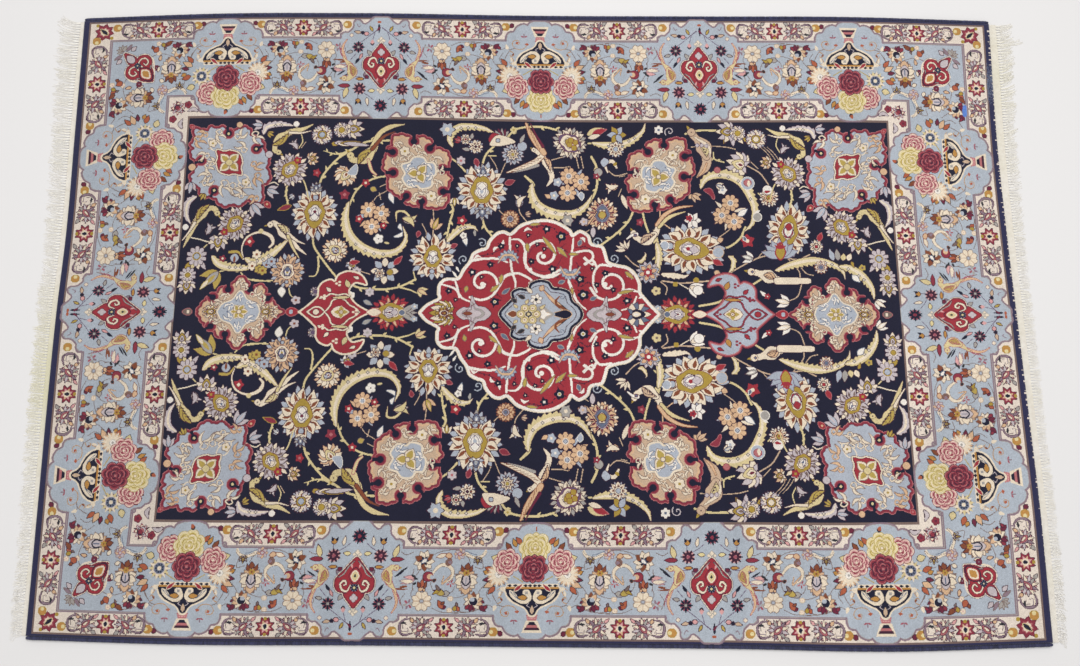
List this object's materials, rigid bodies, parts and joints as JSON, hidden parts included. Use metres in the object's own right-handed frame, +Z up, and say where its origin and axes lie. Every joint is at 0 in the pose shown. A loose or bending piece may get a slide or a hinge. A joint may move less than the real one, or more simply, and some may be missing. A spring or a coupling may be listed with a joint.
{
  "type": "persian rug",
  "caption": "Flat rectangular hand-knotted rug with a central medallion, a wide border, overcast side cords and a short fringe at each end.",
  "frame": {"origin": "on the floor, under the middle of the rug's bounding box", "axes": "+X along the rug's length, towards the right-hand fringe; +Y across it, towards the far long side; +Z up from the floor"},
  "size_m": [1.716, 1.086, 0.0066],
  "materials": {
    "pile": "short cut wool pile, knotted in a navy, grey-blue, ivory and crimson pattern",
    "selvedge": "navy wool overcast round a cord",
    "fringe": "undyed cream cotton, flat-woven web and loose warp ends"
  },
  "bodies": {
    "root": {"rug_body": "pile", "selvedge_far": "selvedge", "selvedge_near": "selvedge", "fringe_left": "fringe", "fringe_right": "fringe"}
  },
  "joints": []
}
